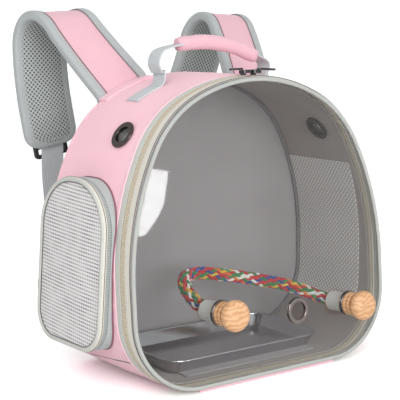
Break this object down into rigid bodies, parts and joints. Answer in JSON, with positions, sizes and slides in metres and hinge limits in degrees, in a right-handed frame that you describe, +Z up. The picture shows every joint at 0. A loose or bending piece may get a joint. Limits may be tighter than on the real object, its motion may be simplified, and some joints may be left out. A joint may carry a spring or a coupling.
{
  "type": "bird travel carrier",
  "caption": "Soft-sided backpack carrier for a pet bird: arched fabric cabin, clear zip-open front with a rope perch, mesh sides with pockets, tray, handle and padded straps.",
  "frame": {"origin": "on the floor, under the middle of the flat base", "axes": "+Z up; the clear door faces -Y; the back panel and shoulder straps are at +Y; +X is to the right seen from the front"},
  "size_m": [0.3404, 0.3011, 0.3392],
  "materials": {
    "pink_fabric": "matt woven polyester, pale pink",
    "lining_fabric": "matt woven polyester lining, grey",
    "pad_mesh": "open-cell foam under knitted air mesh, light grey",
    "net_mesh": "knitted polyester net, light grey",
    "grey_webbing": "woven polypropylene webbing, light grey",
    "binding_tape": "folded grosgrain binding, off white",
    "door_tape": "woven zip tape, cream",
    "body_tape": "woven zip tape, pale grey green",
    "zip_coil": "spiral nylon coil, warm grey",
    "black_metal": "die-cast zinc, black enamel",
    "gunmetal": "pressed brass, gunmetal plating",
    "clear_film": "clear flexible film, glossy",
    "turned_wood": "turned hardwood, satin oil",
    "white_plastic": "moulded plastic, satin white",
    "black_plastic": "moulded acetal, black",
    "zinc_steel": "zinc-plated steel, satin",
    "woven_rope": "plaited cotton rope, several dyed yarns",
    "tray_steel": "rolled stainless sheet, satin"
  },
  "bodies": {
    "carrier": {"back_lining": "lining_fabric", "back_pad": "pad_mesh", "back_panel": "pink_fabric", "back_seam_binding": "binding_tape", "base_panel": "pink_fabric", "eyelet_left": "gunmetal", "eyelet_right": "gunmetal", "eyelet_screens": "net_mesh", "floor_board": "lining_fabric", "gusset_lining": "lining_fabric", "gusset_shell": "pink_fabric", "handle_tabs": "grey_webbing", "pocket_gusset_left": "binding_tape", "pocket_gusset_right": "binding_tape", "pocket_zip_left": "zip_coil", "pocket_zip_right": "zip_coil", "side_mesh_left": "net_mesh", "side_mesh_right": "net_mesh", "strap_anchors": "grey_webbing", "strap_patches": "pink_fabric", "zipper_coil_body": "zip_coil", "zipper_tape_body": "body_tape"},
    "front_door": {"door_piping": "binding_tape", "window": "clear_film", "zipper_tape_door": "door_tape", "zipper_coil_door": "zip_coil", "grommet_left": "gunmetal", "grommet_middle": "gunmetal", "grommet_right": "gunmetal", "perch_bolts": "zinc_steel", "perch_washers": "zinc_steel", "perch_cap_left": "white_plastic", "perch_cap_right": "white_plastic", "perch_rope": "woven_rope"},
    "knob_left": {"knob_left": "turned_wood"},
    "knob_right": {"knob_right": "turned_wood"},
    "slider_left": {"slider_left": "black_metal"},
    "slider_right": {"slider_right": "black_metal"},
    "pull_left": {"pull_left": "black_metal"},
    "pull_right": {"pull_right": "black_metal"},
    "handle": {"handle_grip": "pink_fabric", "handle_riser_left": "grey_webbing", "handle_riser_right": "grey_webbing"},
    "strap_left": {"strap_pad_left": "pink_fabric", "strap_mesh_left": "pad_mesh", "ladder_lock_left": "black_plastic", "lower_webbing_left": "grey_webbing"},
    "strap_right": {"strap_pad_right": "pink_fabric", "strap_mesh_right": "pad_mesh", "ladder_lock_right": "black_plastic", "lower_webbing_right": "grey_webbing"},
    "pocket_door_left": {"pocket_rim_left": "grey_webbing", "pocket_mesh_left": "net_mesh"},
    "pocket_door_right": {"pocket_rim_right": "grey_webbing", "pocket_mesh_right": "net_mesh"},
    "pocket_slider_left": {"pocket_slider_left": "black_metal"},
    "pocket_slider_right": {"pocket_slider_right": "black_metal"},
    "tray": {"tray": "tray_steel"}
  },
  "joints": [
    {"name": "door_hinge", "type": "hinge", "parent": "carrier", "child": "front_door", "pos_m": [0, -0.072, 0.0031], "axis": [1, 0, 0], "range_deg": [0, 52]},
    {"name": "knob_left_turn", "type": "hinge", "parent": "front_door", "child": "knob_left", "pos_m": [-0.053, -0.06948, 0.067], "axis": [0, -0.9968, 0.0797], "continuous": true},
    {"name": "knob_right_turn", "type": "hinge", "parent": "front_door", "child": "knob_right", "pos_m": [0.1, -0.07048, 0.0545], "axis": [0, -0.9968, 0.0797], "continuous": true},
    {"name": "slider_left_run", "type": "hinge", "parent": "carrier", "child": "slider_left", "pos_m": [0, -0.05178, 0.11089], "axis": [0, -0.9968, 0.0797], "range_deg": [0, 22]},
    {"name": "slider_right_run", "type": "hinge", "parent": "carrier", "child": "slider_right", "pos_m": [0, -0.05178, 0.11089], "axis": [0, 0.9968, -0.0797], "range_deg": [0, 21.5]},
    {"name": "pull_left_lift", "type": "hinge", "parent": "slider_left", "child": "pull_left", "pos_m": [-0.00835, -0.03821, 0.28056], "axis": [0, 0.9968, -0.0797], "range_deg": [0, 110]},
    {"name": "pull_right_lift", "type": "hinge", "parent": "slider_right", "child": "pull_right", "pos_m": [0.00954, -0.03822, 0.2805], "axis": [0, -0.9968, 0.0797], "range_deg": [0, 110]},
    {"name": "handle_swing", "type": "hinge", "parent": "carrier", "child": "handle", "pos_m": [0, 0.02, 0.27663], "axis": [1, 0, 0], "range_deg": [-50, 50]},
    {"name": "strap_left_swing", "type": "hinge", "parent": "carrier", "child": "strap_left", "pos_m": [-0.1, 0.088, 0.024], "axis": [0.1372, -0.0499, 0.9893], "range_deg": [-15, 15]},
    {"name": "strap_right_swing", "type": "hinge", "parent": "carrier", "child": "strap_right", "pos_m": [0.1, 0.088, 0.024], "axis": [-0.0545, -0.0503, 0.9972], "range_deg": [-15, 15]},
    {"name": "pocket_left_flap", "type": "hinge", "parent": "carrier", "child": "pocket_door_left", "pos_m": [-0.16193, 0.01022, 0.03767], "axis": [0.0693, -0.9976, 0], "range_deg": [0, 80]},
    {"name": "pocket_right_flap", "type": "hinge", "parent": "carrier", "child": "pocket_door_right", "pos_m": [0.16193, 0.01022, 0.03767], "axis": [0.0693, 0.9976, 0], "range_deg": [0, 80]},
    {"name": "pocket_left_zip", "type": "slide", "parent": "carrier", "child": "pocket_slider_left", "axis": [0.0696, 0.0048, 0.9976], "range_m": [-0.007, 0.05]},
    {"name": "pocket_right_zip", "type": "slide", "parent": "carrier", "child": "pocket_slider_right", "axis": [-0.0696, 0.0048, 0.9976], "range_m": [-0.007, 0.05]},
    {"name": "tray_lift", "type": "slide", "parent": "carrier", "child": "tray", "axis": [0, 0, 1], "range_m": [0, 0.02]}
  ]
}
